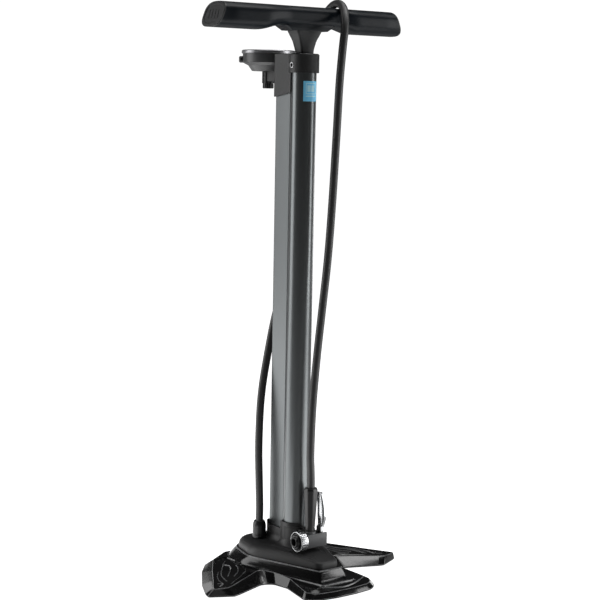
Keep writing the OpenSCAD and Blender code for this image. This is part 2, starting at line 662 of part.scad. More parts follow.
module piston_rod() color("#cdd0d2") {
    translate([0, 0, piston_z1]) cylinder(r = rod_r, h = 656 - piston_z1);
    translate([0, 0, 54]) cylinder(r = 3, h = piston_z1 - 54 + eps);
    translate([0, 0, 656 - eps]) cylinder(r = 4, h = 11.6);
}
module piston_head() color("#d9d4c0") difference() {
    translate([0, 0, 64.1]) cylinder(r = bore_r - 0.1, h = piston_z1 - 64.2);
    cylinder(r = 3.05, h = 200);
    translate([0, 0, 67]) tube(20, 11.6, 2.4);
    translate([0, 0, 71.4]) tube(20, 11.6, 2.4);
}
module piston_cup() color("#1c1c1c") difference() {
    translate([0, 0, piston_z0]) cylinder(r = bore_r - 0.08, h = 6);
    translate([0, 0, piston_z0 - 1]) cylinder(r1 = 12.2, r2 = 9.8, h = 5);
    cylinder(r = 3.05, h = 100);
}
module piston_nut() color("#8c8f92") difference() {
    union() {
        translate([0, 0, piston_z0 + 2.6]) cylinder(r = 8.6, h = 1.3);
        translate([0, 0, 54.4]) cylinder(r = 5.8, h = 6.2, $fn = 6);
    }
    cylinder(r = 3.05, h = 100);
}
module rod_bumper() color("#202021") translate([0, 0, piston_z1 + 0.2]) tube(10.5, rod_r + 0.1, 11.6);

// ---- handle ----

// Half width, top and bottom of the handle at a share u of its half length
function ease(a, b, u) = let (t = min(1, max(0, (u - a) / (b - a)))) t * t * (3 - 2 * t);
function bar_half(u) = 17.5 + (grip_w / 2 - 17.5) * ease(0.22, 0.5, u) - 1.2 * ease(0.8, 1, u);
function bar_low(u) = handle_top - waist_t + (grip_bottom - handle_top + waist_t) * ease(0.3, 0.52, u);
// One section: a rounded rectangle from a superellipse; lean slants it at the ends
function bar_ring(x, sides) =
    let (
        u = min(1, abs(x) / (handle_len / 2)),
        a = bar_half(u), lo = bar_low(u), b = (handle_top - lo) / 2,
        lean = 5.5 * ease(0.75, 1, u) * sign(x)
    )
    [
        for (k = [0 : sides - 1])
            let (
                t = 360 * k / sides,
                y = a * sign(cos(t)) * pow(abs(cos(t)), 0.7),
                z = b * sign(sin(t)) * pow(abs(sin(t)), 0.7)
            )
            [x - lean - lean * z / b, y, handle_top - b + z]
    ];
module bar(x0, x1, n) {
    sides = 36;
    rings = [for (i = [0 : n]) bar_ring(x0 + (x1 - x0) * i / n, sides)];
    middles = [for (r = [rings[0], rings[n]]) (r[0] + r[sides / 2]) / 2];
    skin([for (r = rings) for (p = r) p], sides, n + 1, middles);
}
module handle_bar() color("#15181c") difference() {
    union() {
        bar(-handle_len / 2 + 2.2, handle_len / 2 - 2.2, 40);
        hull() {
            translate([-34, -13, neck_top + 6]) cube([68, 26, 1]);
            translate([-26, -12.4, neck_top]) cube([52, 24.8, 1]);
        }
    }
    translate([0, 0, neck_top - 1]) cylinder(r = 9.1, h = 17.2);
}
module end_cap_left() color("#5a5d60") bar(-handle_len / 2, -handle_len / 2 + 2, 2);
module end_cap_right() color("#5a5d60") bar(handle_len / 2 - 2, handle_len / 2, 2);
module neck_layer(a, b, z) {
    for (sx = [-1, 1]) for (sy = [-1, 1]) translate([sx * (a - 3), sy * (b - 3), z])
        cylinder(r = 3, h = 0.2, $fn = 32);
}
module handle_neck() color("#606367") difference() {
    union() {
        hull() {
            neck_layer(17.6, 11.2, neck_top - 0.3);
            neck_layer(12.2, 8.9, 641);
        }
        hull() {
            neck_layer(12.2, 8.9, 641);
            neck_layer(8.6, 7.2, neck_bottom);
        }
        translate([0, 0, neck_top - 2]) cylinder(r = 9, h = 17.8);
    }
    cylinder(r = rod_r + slip, h = 656.3);
    cylinder(r = 4 + slip, h = 663);
    translate([0, 0, 661.9]) cylinder(r = 7.2, h = 10);
}
module rod_nut() color("#8c8f92") difference() {
    translate([0, 0, 662.2]) cylinder(r = 6.6, h = 5, $fn = 6);
    cylinder(r = 4.05, h = 800);
}

base_frame();
ballast_plate();
pad_left();
pad_right();
pad_front();
base_screws();
pedestal_cover();
head_cradle();
barrel();
barrel_label();
bottom_plug();
plug_seal();
valve_poppet();
valve_spring();
air_manifold();
gauge_pipe();
pipe_elbow();
top_collar();
collar_screws();
guide_bush();
gauge_housing();
gauge_dial();
gauge_needle();
bourdon_tube();
gauge_lens();
gauge_bezel();
gauge_nut();
release_button();
button_spring();
hose_gland();
hose();
hose_connector();
head_body();
head_ring();
head_cap();
head_gasket();
head_plunger();
head_lever();
lever_pin();
piston_rod();
piston_head();
piston_cup();
piston_nut();
rod_bumper();
handle_bar();
handle_neck();
end_cap_left();
end_cap_right();
rod_nut();
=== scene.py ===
"""Looks of the floor bicycle pump.

Shapes are written in millimetres and turned into metres when a mesh is made. The front of the pump faces -Y.
"""

import json
from math import atan2, cos, pi, radians, sin, sqrt, tan

import bmesh
import bpy
import numpy as np
from mathutils import Matrix, Vector
from mathutils.geometry import delaunay_2d_cdt


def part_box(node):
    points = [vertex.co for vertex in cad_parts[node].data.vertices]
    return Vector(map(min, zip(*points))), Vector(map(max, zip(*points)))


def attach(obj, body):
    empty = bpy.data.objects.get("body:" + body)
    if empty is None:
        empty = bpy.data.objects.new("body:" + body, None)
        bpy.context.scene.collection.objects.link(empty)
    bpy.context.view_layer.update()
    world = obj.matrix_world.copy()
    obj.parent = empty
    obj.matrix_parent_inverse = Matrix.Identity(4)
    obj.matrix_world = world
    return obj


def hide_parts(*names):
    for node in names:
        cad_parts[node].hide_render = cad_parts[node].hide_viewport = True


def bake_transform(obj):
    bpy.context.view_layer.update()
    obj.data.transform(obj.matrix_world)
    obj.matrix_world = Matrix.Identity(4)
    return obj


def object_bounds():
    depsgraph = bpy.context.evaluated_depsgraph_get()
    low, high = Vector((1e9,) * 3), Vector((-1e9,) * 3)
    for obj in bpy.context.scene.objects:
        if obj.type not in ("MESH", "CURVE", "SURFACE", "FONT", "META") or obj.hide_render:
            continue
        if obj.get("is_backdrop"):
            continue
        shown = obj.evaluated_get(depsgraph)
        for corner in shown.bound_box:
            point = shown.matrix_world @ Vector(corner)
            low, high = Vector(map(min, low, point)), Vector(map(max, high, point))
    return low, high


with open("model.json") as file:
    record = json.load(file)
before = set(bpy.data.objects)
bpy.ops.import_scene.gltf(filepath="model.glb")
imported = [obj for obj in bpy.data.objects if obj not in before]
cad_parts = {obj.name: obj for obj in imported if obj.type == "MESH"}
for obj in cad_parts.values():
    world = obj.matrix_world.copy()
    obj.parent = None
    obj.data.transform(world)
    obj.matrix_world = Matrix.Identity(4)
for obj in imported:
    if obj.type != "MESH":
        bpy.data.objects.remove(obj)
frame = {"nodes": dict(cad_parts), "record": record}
cad_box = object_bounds()
MM = 0.001

# ---- camera ----

VIEW_AZIMUTH = radians(36)
VIEW_TILT = radians(7.28)
VIEW_ROLL = radians(1.06)
EYE = Vector((-1.0336, -1.4233, 0.561))
PICTURE = 600  # pixels across
FOCAL_LENGTH = 1488  # pixels
SENSOR = 36


def make_camera():
    forward = Vector((sin(VIEW_AZIMUTH) * cos(VIEW_TILT), cos(VIEW_AZIMUTH) * cos(VIEW_TILT), -sin(VIEW_TILT)))
    level = forward.cross(Vector((0, 0, 1))).normalized()
    right = (Matrix.Rotation(-VIEW_ROLL, 3, forward) @ level).normalized()
    up = right.cross(forward)
    data = bpy.data.cameras.new("camera")
    data.sensor_width = SENSOR
    data.lens = FOCAL_LENGTH / PICTURE * SENSOR
    data.clip_end = 50
    camera = bpy.data.objects.new("camera", data)
    camera.matrix_world = Matrix((right, up, -forward)).transposed().to_4x4()
    camera.location = EYE
    bpy.context.scene.collection.objects.link(camera)
    bpy.context.scene.camera = camera


make_camera()

# ---- materials ----


def node(tree, kind, **settings):
    made = tree.nodes.new(kind)
    for key, value in settings.items():
        setattr(made, key, value)
    return made


NOISE_LOW, NOISE_HIGH = 0.3, 0.7  # noise values at the two ends of a colour or gloss


def material(name, color, rough=0.5, metal=0.0, grain=900, bump=0.15, depth=0.0002, vary=0.12, spread=0.08,
             coat=0.0, alpha=None, stretch=(1, 1, 1), blotch=30, ior=1.5):
    """A surface with fine grain in its relief and gloss, and soft blotches in its colour.

    grain and blotch are counts per metre, depth is the relief in metres, vary and spread are the changes of
    colour and roughness, and stretch scales the pattern along x, y and z.
    """
    made = bpy.data.materials.new(name)
    made.use_nodes = True
    tree = made.node_tree
    shader = tree.nodes["Principled BSDF"]
    shader.inputs["Metallic"].default_value = metal
    shader.inputs["IOR"].default_value = ior
    shader.inputs["Coat Weight"].default_value = coat
    shader.inputs["Coat Roughness"].default_value = 0.12
    place = node(tree, "ShaderNodeTexCoord")
    scaled = node(tree, "ShaderNodeMapping")
    scaled.inputs["Scale"].default_value = stretch
    tree.links.new(place.outputs["Object"], scaled.inputs["Vector"])
    fine = node(tree, "ShaderNodeTexNoise")
    fine.inputs["Scale"].default_value = grain
    fine.inputs["Detail"].default_value = 4
    wide = node(tree, "ShaderNodeTexNoise")
    wide.inputs["Scale"].default_value = blotch
    wide.inputs["Detail"].default_value = 3
    for texture in (fine, wide):
        tree.links.new(scaled.outputs["Vector"], texture.inputs["Vector"])
    ramp = node(tree, "ShaderNodeValToRGB")
    low = [c * (1 - vary) for c in color[:3]]
    high = [min(1, c * (1 + vary)) for c in color[:3]]
    ramp.color_ramp.elements[0].position = NOISE_LOW
    ramp.color_ramp.elements[0].color = (*low, 1)
    ramp.color_ramp.elements[1].position = NOISE_HIGH
    ramp.color_ramp.elements[1].color = (*high, 1)
    tree.links.new(wide.outputs["Fac"], ramp.inputs["Fac"])
    tree.links.new(ramp.outputs["Color"], shader.inputs["Base Color"])
    gloss = node(tree, "ShaderNodeMapRange")
    gloss.inputs["From Min"].default_value = NOISE_LOW
    gloss.inputs["From Max"].default_value = NOISE_HIGH
    gloss.inputs["To Min"].default_value = max(0.02, rough - spread)
    gloss.inputs["To Max"].default_value = min(1, rough + spread)
    tree.links.new(fine.outputs["Fac"], gloss.inputs["Value"])
    tree.links.new(gloss.outputs["Result"], shader.inputs["Roughness"])
    relief = node(tree, "ShaderNodeBump")
    relief.inputs["Strength"].default_value = bump
    relief.inputs["Distance"].default_value = depth
    tree.links.new(fine.outputs["Fac"], relief.inputs["Height"])
    tree.links.new(relief.outputs["Normal"], shader.inputs["Normal"])
    if alpha is not None:
        shader.inputs["Alpha"].default_value = alpha
        shader.inputs["Transmission Weight"].default_value = 0.6
    return made


MATERIALS = {
    "gloss_black": material("gloss_black", (0.005, 0.005, 0.0052), 0.16, grain=500, bump=0.04, spread=0.04, coat=0.2,
                            ior=1.45),
    "dark_grey_plastic": material("dark_grey_plastic", (0.016, 0.0163, 0.0167), 0.5, grain=1500, bump=0.3,
                                  spread=0.06),
    "black_plastic": material("black_plastic", (0.009, 0.009, 0.0095), 0.36, grain=1200, bump=0.2),
    "head_grey": material("head_grey", (0.085, 0.087, 0.09), 0.42, grain=1500, bump=0.25),
    "grey_aluminium": material("grey_aluminium", (0.14, 0.149, 0.152), 0.3, 0.8, grain=1400, bump=0.012, vary=0.02,
                               spread=0.015, stretch=(1, 1, 0.04)),
    "aluminium_plain": material("aluminium_plain", (0.6, 0.61, 0.62), 0.35, 1.0, grain=900, stretch=(1, 1, 6)),
    "steel": material("steel", (0.45, 0.45, 0.46), 0.35, 1.0, grain=1200),
    "chrome": material("chrome", (0.72, 0.73, 0.74), 0.14, 1.0, grain=300, bump=0.006, vary=0.03, spread=0.05),
    "brass": material("brass", (0.6, 0.42, 0.16), 0.3, 1.0, grain=900),
    "nylon": material("nylon", (0.72, 0.69, 0.6), 0.5, grain=900),
    "black_rubber": material("black_rubber", (0.02, 0.02, 0.02), 0.75, grain=1400, bump=0.4),
    "hose_rubber": material("hose_rubber", (0.028, 0.028, 0.0285), 0.42, grain=900, bump=0.15, spread=0.08),
    "blue_label": material("blue_label", (0.2, 0.66, 1.0), 0.45, grain=900, bump=0.05, vary=0.05),
    "dial_white": material("dial_white", (0.85, 0.85, 0.82), 0.5, grain=900, bump=0.05, vary=0.03),
    "needle_red": material("needle_red", (0.6, 0.03, 0.02), 0.4, grain=900, bump=0.1),
    "clear_lens": material("clear_lens", (0.95, 0.97, 0.98), 0.06, grain=200, bump=0.02, vary=0.01, spread=0.03,
                           alpha=0.25),
    "handle_black": material("handle_black", (0.0035, 0.0055, 0.008), 0.36, grain=1400, bump=0.15, spread=0.05,
                             ior=1.22),
    "label_light": material("label_light", (0.5, 0.85, 1.0), 0.45, grain=900, bump=0.05, vary=0.05),
    "bezel_grey": material("bezel_grey", (0.3, 0.3, 0.31), 0.38, 0.9, grain=700, bump=0.08, vary=0.05),
    # Paler grey for the base's rims, ribs and lowest edge: painted highlight lines.
    "painted_edge_highlight": material("painted_edge_highlight", (0.13, 0.132, 0.135), 0.25, grain=700, bump=0.1, vary=0.35, blotch=120,
                            spread=0.1),
    "neck_grey": material("neck_grey", (0.02, 0.021, 0.022), 0.45, grain=1500, bump=0.25, ior=1.38),
    "housing_grey": material("housing_grey", (0.06, 0.061, 0.062), 0.38, grain=1500, bump=0.2),
    "bright_steel": material("bright_steel", (0.62, 0.63, 0.64), 0.24, 1.0, grain=900, bump=0.06, vary=0.05,
                             spread=0.06),
    # Dark steel for the lever's rim faces: painted dark reflection outlines.
    "painted_dark_rim_steel": material("painted_dark_rim_steel", (0.1, 0.1, 0.105), 0.3, 1.0, grain=900, bump=0.06, vary=0.2, spread=0.06),
}
slots = {s["node"]: s["material_slot"] for s in frame["record"]["subparts"]}
for name, shown in frame["nodes"].items():
    shown.data.materials.clear()
    shown.data.materials.append(MATERIALS[slots[name]])

# ---- mesh helpers ----


def finish_mesh(bm, name, slot, body="pump", nodes=(), sharp=32, edges=None):
    """Turns a bmesh in millimetres into a piece that rides on a body and takes the place of CAD nodes.

    Edges over sharp degrees stay sharp, and edges names the material of faces with material index 1.
    """
    bmesh.ops.remove_doubles(bm, verts=bm.verts, dist=0.0005)
    bmesh.ops.recalc_face_normals(bm, faces=bm.faces)
    for edge in bm.edges:
        edge.smooth = len(edge.link_faces) == 2 and edge.calc_face_angle(0) < radians(sharp)
    for face in bm.faces:
        face.smooth = True
    bmesh.ops.scale(bm, vec=(MM, MM, MM), verts=bm.verts)
    mesh = bpy.data.meshes.new(name)
    bm.to_mesh(mesh)
    bm.free()
    piece = bpy.data.objects.new(name, mesh)
    bpy.context.scene.collection.objects.link(piece)
    mesh.materials.append(MATERIALS[slot])
    if edges:
        mesh.materials.append(MATERIALS[edges])
    if body:
        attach(piece, body)
    if nodes:
        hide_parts(*nodes)
    return piece


def use_second(piece):
    """Shows the piece's second material on every face."""
    for face in piece.data.polygons:
        face.material_index = 1


def unit(v):
    return v / np.linalg.norm(v)


def inset(corners, d):
    """The corner list [x, y, radius] moved in by d on every edge."""
    moved = []
    for before, (x, y, r), after in zip(corners[-1:] + corners[:-1], corners, corners[1:] + corners[:1]):
        a = unit(np.array([x - before[0], y - before[1]]))
        b = unit(np.array([after[0] - x, after[1] - y]))
        n1, n2 = np.array([a[1], -a[0]]), np.array([b[1], -b[0]])
        p = np.array([x, y]) - (n1 + n2) * d / (1 + n1 @ n2)
        convex = a[0] * b[1] - a[1] * b[0] > 0
        moved.append((p[0], p[1], max(0.8, r - (d if convex else -d))))
    return moved


def rounded(corners, steps=6):
    """The points of a corner list, each corner an arc of steps + 1 points."""
    points = []
    for before, (x, y, r), after in zip(corners[-1:] + corners[:-1], corners, corners[1:] + corners[:1]):
        p = np.array([x, y])
        to_a, to_b = np.array(before[:2]) - p, np.array(after[:2]) - p
        a, b = unit(to_a), unit(to_b)
        half = np.arccos(np.clip(a @ b, -1, 1)) / 2
        reach = min(r / tan(half), 0.49 * np.linalg.norm(to_a), 0.49 * np.linalg.norm(to_b))
        r = reach * tan(half)
        centre = p + unit(a + b) * r / sin(half)
        start, end = p + a * reach - centre, p + b * reach - centre
        turn = (1 if start[0] * end[1] - start[1] * end[0] > 0 else -1) * (pi - 2 * half)
        for k in range(steps + 1):
            t = turn * k / steps
            points.append(centre + [start[0] * cos(t) - start[1] * sin(t), start[0] * sin(t) + start[1] * cos(t)])
    return np.array(points)


def depth_inside(points, outline):
    """Distance to an outline, positive inside."""
    a, b = outline, np.roll(outline, -1, axis=0)
    edge = b - a
    gap = points[:, None, :] - a[None]
    t = np.clip((gap * edge).sum(2) / (edge ** 2).sum(1), 0, 1)
    distance = np.linalg.norm(gap - t[..., None] * edge, axis=2).min(1)
    x, y = points[:, :1], points[:, 1:]
    crosses = (a[:, 1] > y) != (b[:, 1] > y)
    with np.errstate(divide="ignore", invalid="ignore"):
        at = a[:, 0] + (y - a[:, 1]) / (b[:, 1] - a[:, 1]) * edge[:, 0]
    inside = (crosses & (x < at)).sum(1) % 2 == 1
    return np.where(inside, distance, -distance)


def ease(low, high, value):
    """Goes from 0 at low to 1 at high, flat at both ends."""
    t = np.clip((value - low) / (high - low), 0, 1)
    return t * t * (3 - 2 * t)


def relief_sheet(bm, loops, step, keep, height, flip=False):
    """Adds a sheet over the XY plane: its mesh follows the loops, fills keep() and stands at height()."""
    points, edges = [], []
    for loop in loops:
        first = len(points)
        points += [Vector(p) for p in loop]
        edges += [(first + i, first + (i + 1) % len(loop)) for i in range(len(loop))]
    every = np.vstack(loops)
    low, high = every.min(0), every.max(0)
    xs, ys = np.arange(low[0], high[0], step), np.arange(low[1], high[1], step)
    grid = np.array([(x + (step / 2 if k % 2 else 0), y) for k, y in enumerate(ys) for x in xs])
    near = np.array([np.linalg.norm(every - g, axis=1).min() for g in grid])
    points += [Vector(g) for g, gap in zip(grid, near) if gap > step * 0.45]
    flat, _, faces, _, _, _ = delaunay_2d_cdt(points, edges, [], 0, 1e-4)
    flat = np.array(flat)
    middles = np.array([flat[list(f)].mean(0) for f in faces])
    shown = keep(middles)
    heights = height(flat)
    made = [bm.verts.new((x, y, z)) for (x, y), z in zip(flat, heights)]
    for f, used in zip(faces, shown):
        if used:
            bm.faces.new([made[i] for i in (reversed(f) if flip else f)])
    for v in [v for v in made if not v.link_faces]:
        bm.verts.remove(v)


def add_rings(bm, rings, caps=(True, True)):
    """Joins rings of equal point counts, closes the two ends, and gives back the rings' vertices."""
    made = [[bm.verts.new(p) for p in ring] for ring in rings]
    n = len(made[0])
    for low, high in zip(made, made[1:]):
        for i in range(n):
            bm.faces.new((low[i], low[(i + 1) % n], high[(i + 1) % n], high[i]))
    if caps[0]:
        bm.faces.new(reversed(made[0]))
    if caps[1]:
        bm.faces.new(made[-1])
    return made


def at_height(loop, z):
    """The ring of a flat loop at height z."""
    return [(x, y, z) for x, y in loop]


def soft_profile(corners, steps=4):
    """An open line of (r, z, corner radius) with its corners rounded."""
    points = [np.array(corners[0][:2], float)]
    for before, (x, y, r), after in zip(corners, corners[1:-1], corners[2:]):
        p = np.array([x, y], float)
        to_a, to_b = np.array(before[:2]) - p, np.array(after[:2]) - p
        reach = min(r, 0.49 * np.linalg.norm(to_a), 0.49 * np.linalg.norm(to_b))
        a, b = p + unit(to_a) * reach, p + unit(to_b) * reach
        for k in range(steps + 1):
            t = k / steps
            points.append((1 - t) ** 2 * a + 2 * t * (1 - t) * p + t * t * b)
    points.append(np.array(corners[-1][:2], float))
    return points


def add_lathe(bm, corners, place=None, sides=64, flute=None):
    """Turns a profile about Z, then moves it. A closed profile makes a hoop.

    flute(angle, r, z) may change the radius.
    """
    place = place or Matrix.Identity(4)
    rings = []
    for r, z in soft_profile(corners):
        ring = []
        for k in range(sides):
            a = 2 * pi * k / sides
            wide = flute(a, r, z) if flute else r
            ring.append(place @ Vector((max(wide, 0.001) * cos(a), max(wide, 0.001) * sin(a), z)))
        rings.append(ring)
    solid = corners[0][:2] != corners[-1][:2]
    add_rings(bm, rings, (solid, solid))


def lathe(name, corners, slot, place=None, **how):
    bm = bmesh.new()
    add_lathe(bm, corners, place, how.pop("sides", 64), how.pop("flute", None))
    return finish_mesh(bm, name, slot, **how)


def move(x, y, z):
    return Matrix.Translation((x, y, z))


ALONG_X = Matrix.Rotation(radians(90), 4, "Y")


# ---- hose ----

HOSE_D = 9.4
HOSE_SIDES = 20
HOSE_ROUTE = np.array([
    (-24.5, 42, 60.5), (-24.5, 42, 67), (-24.5, 42, 80), (-25, 43, 110), (-25, 45, 150), (-22.5, 47, 195),
    (-19, 48, 225), (-13.5, 48.5, 255), (-4, 48.5, 300), (4, 48, 330), (12, 47, 360),
    (19, 41, 400), (22, 34, 440), (24, 28, 500), (26, 28, 560), (30, 33, 600),
    (36, 38, 632), (42, 39, 649), (48, 33, 667), (50, 22, 679), (48.5, 10, 684.8),
    (46, -2, 686), (43, -13, 683.5), (39.5, -23, 677.5), (35, -31, 667), (31, -36, 653),
    (27, -38, 630), (24, -37.5, 590), (22, -36.5, 530), (18.5, -35.5, 450),
    (14, -35, 385), (7.5, -35, 328), (1, -35, 270), (-3, -34, 212), (-3.5, -32.5, 158),
    (-1, -30.5, 134), (0, -30, 120), (0, -30, 114),
])


def smooth_route(p, steps):
    """A smooth curve through the points, as steps points for each stretch."""
    out = []
    for i in range(len(p) - 1):
        a, b, c, d = p[max(0, i - 1)], p[i], p[i + 1], p[min(len(p) - 1, i + 2)]
        for k in range(steps):
            t = k / steps
            out.append(0.5 * (2 * b + (c - a) * t + (2 * a - 5 * b + 4 * c - d) * t * t
                              + (3 * b - a - 3 * c + d) * t ** 3))
    return np.array(out + [p[-1]])


def make_hose():
    path = smooth_route(HOSE_ROUTE, 6)
    bm = bmesh.new()
    rings = []
    for before, here, after in zip(np.vstack((path[:1], path[:-1])), path, np.vstack((path[1:], path[-1:]))):
        t = unit(after - before)
        u = unit(np.cross(t, (1, 0, 0)))
        v = np.cross(t, u)
        rings.append([here + HOSE_D / 2 * (cos(a) * u + sin(a) * v)
                      for a in (2 * pi * k / HOSE_SIDES for k in range(HOSE_SIDES))])
    add_rings(bm, rings)
    piece = finish_mesh(bm, "air_hose", "hose_rubber", body=None, nodes=("hose",), sharp=60)
    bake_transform(piece)


def make_connector():
    """The tapered fitting between the hose and the head, with eight shallow flats."""

    def flats(a, r, z):
        return r if r < 5 else min(r, r * 0.955 / cos((a + pi / 10) % (pi / 4) - pi / 8))

    corners = [(0, 60.6, 0), (5.6, 60.6, 0.5), (5.8, 66, 4), (7.0, 84, 12), (8.2, 104, 6), (8.4, 111.2, 0.5),
               (7.2, 113.6, 0.4), (5.2, 114, 0.3), (0, 114, 0)]
    return lathe("hose_fitting", corners, "black_plastic", move(0, -30, 0), nodes=("hose_connector",), sides=96,
                 flute=flats, sharp=14)


CONNECTOR = make_connector()
make_hose()

# ---- base ----

FLOOR_GAP = 0.8
FOOT_EDGE = 2.2
FOOT_TOP = 11.5
WALL_FOOT = 14.2
WALL_HEIGHT = 10
STEP_TOP = 25
PLATE_SINK = 1.3
RIB_RISE = 0.9
# Outlines are lists of (x, y, corner radius), anticlockwise from above.
FOOT_HALF = [(14, -105.5, 60), (41, -102, 22), (52.5, -91, 11), (44.5, -46, 10), (49, -25, 10), (60, -18.5, 12),
             (103, -35, 3), (111, -37, 3), (139.5, -23, 4), (137.5, -14, 12), (124, 15, 50), (96, 60, 40),
             (76, 84, 14), (52, 88, 12)]
TOP_HALF = [(13, -101.5, 60), (37.5, -98.5, 20), (48, -89, 10), (40, -46, 8), (44.5, -20, 10), (52, 0, 8),
            (109, -28, 2), (117, -31, 2), (134.5, -27.5, 2.5), (131, -20, 8), (117, 2, 60), (98, 34, 40),
            (75, 68, 12), (50, 82, 10)]
STEP = [(-17, -73, 4), (17, -73, 4), (53, 25, 34), (42, 77, 24), (-42, 77, 24), (-53, 25, 34)]
WALL = [(-19, -78, 3), (19, -78, 3), (61, 31, 36), (50, 80, 22), (-50, 80, 22), (-61, 31, 36)]
LEDGE = [(-23, -89, 5), (23, -89, 5), (37, -44, 60), (64, 36, 36), (50, 81, 24), (-50, 81, 24), (-64, 36, 36),
         (-37, -44, 60)]
PLATE = [(110, -25, 3), (130, -23, 3), (114, 3, 60), (96, 32, 30), (76, 62, 10), (60, 66, 10), (57, 40, 20),
         (66, 8, 10)]
SIDE_PAD = [(100, -20, 8), (122, -14, 8), (106, 22, 12), (82, 44, 12), (72, 30, 8)]
FRONT_PAD = [(-26, -97, 10), (26, -97, 10), (34, -87, 8), (-34, -87, 8)]


def other_side(corners):
    return [(-x, y, r) for x, y, r in reversed(corners)]


FEET = FOOT_HALF + other_side(FOOT_HALF)
TOP = TOP_HALF + other_side(TOP_HALF)


def thick_line(points, wide):
    """An outline round a line of points, wide mm across, with round ends."""
    points = smooth_route(np.array(points, float), 6)
    ahead = np.gradient(points, axis=0)
    ahead /= np.linalg.norm(ahead, axis=1)[:, None]
    side = np.stack([ahead[:, 1], -ahead[:, 0]], 1) * wide / 2
    turns = [pi * k / 6 for k in range(1, 6)]
    tip = [points[-1] + side[-1] * cos(t) + ahead[-1] * wide / 2 * sin(t) for t in turns]
    tail = [points[0] - side[0] * cos(t) - ahead[0] * wide / 2 * sin(t) for t in turns]
    return np.array(list(points + side) + tip + list((points - side)[::-1]) + tail)


def mirrored(points):
    return [(-x, y) for x, y in points]


PLATES = [PLATE, other_side(PLATE)]
PLATE_RIBS = [
    ([(104, -8), (99, 10), (91, 24), (80, 38), (68, 52)], 1.5),
    ([(113, -14), (110, 0), (103, 14), (94, 26)], 1.3),
    ([(92, 8), (85, 16), (78, 24), (73, 33), (75, 41)], 1.3),
    ([(86, 4), (77, 11), (70, 19), (66, 30)], 1.3),
    ([(121, -19), (115, -16), (118, -10)], 1.2),
    ([(105, -19), (95, -12), (86, -6), (77, 0), (70, 4)], 1.2),
]
PLATE_LINES = [thick_line(line, wide) for line, wide in PLATE_RIBS]
PLATE_LINES += [thick_line(mirrored(line), wide) for line, wide in PLATE_RIBS]
FRONT_LINE = [(1.5 + 60.3 * cos(radians(a)), -37 + 60.3 * sin(radians(a))) for a in range(-117, -49, 6)]
BANDS = [thick_line(FRONT_LINE, 1.5)]


def between_walls(share):
    """The outline part of the way up the step's leaning wall."""
    return [tuple(w + (t - w) * share for w, t in zip(low, high)) for low, high in zip(WALL, STEP)]


def base_height(p):
    """Height of the base's upper side at points of the plane."""
    top = depth_inside(p, rounded(TOP, 8))
    ledge = depth_inside(p, rounded(LEDGE, 8))
    foot, step = depth_inside(p, rounded(WALL, 8)), depth_inside(p, rounded(STEP, 8))
    # The side feet rise towards the ledge, the front foot dips towards its edge, and the rim is chamfered.
    z = FOOT_TOP + 3 * ease(30, 0, -ledge) * ease(-70, -10, p[:, 1])
    z -= 3.2 * ease(-64, -100, p[:, 1]) * (1 - ease(0, 9, top))
    z -= 0.7 * np.clip(1 - top / 0.7, 0, 1)
    for corners in PLATES:
        z -= PLATE_SINK * np.clip(depth_inside(p, rounded(corners, 6)) / 0.6, 0, 1)
    for line in PLATE_LINES + BANDS:
        z += RIB_RISE * np.clip(depth_inside(p, line) / 0.45, 0, 1)
    z = np.where(ledge > 0, np.maximum(z, 12.2 + 0.8 * np.clip(ledge / 0.8, 0, 1)), z)
    # The step's wall leans in and bulges a little, and ends in a chamfer.
    climb = np.clip(foot / np.maximum(foot - np.minimum(step, 0), 1e-6), 0, 1)
    wall = WALL_FOOT + WALL_HEIGHT * climb + 0.7 * np.sin(pi * climb) + 0.8 * np.clip(step / 0.8, 0, 1)
    return np.where(foot > 0, np.maximum(z, wall), z)


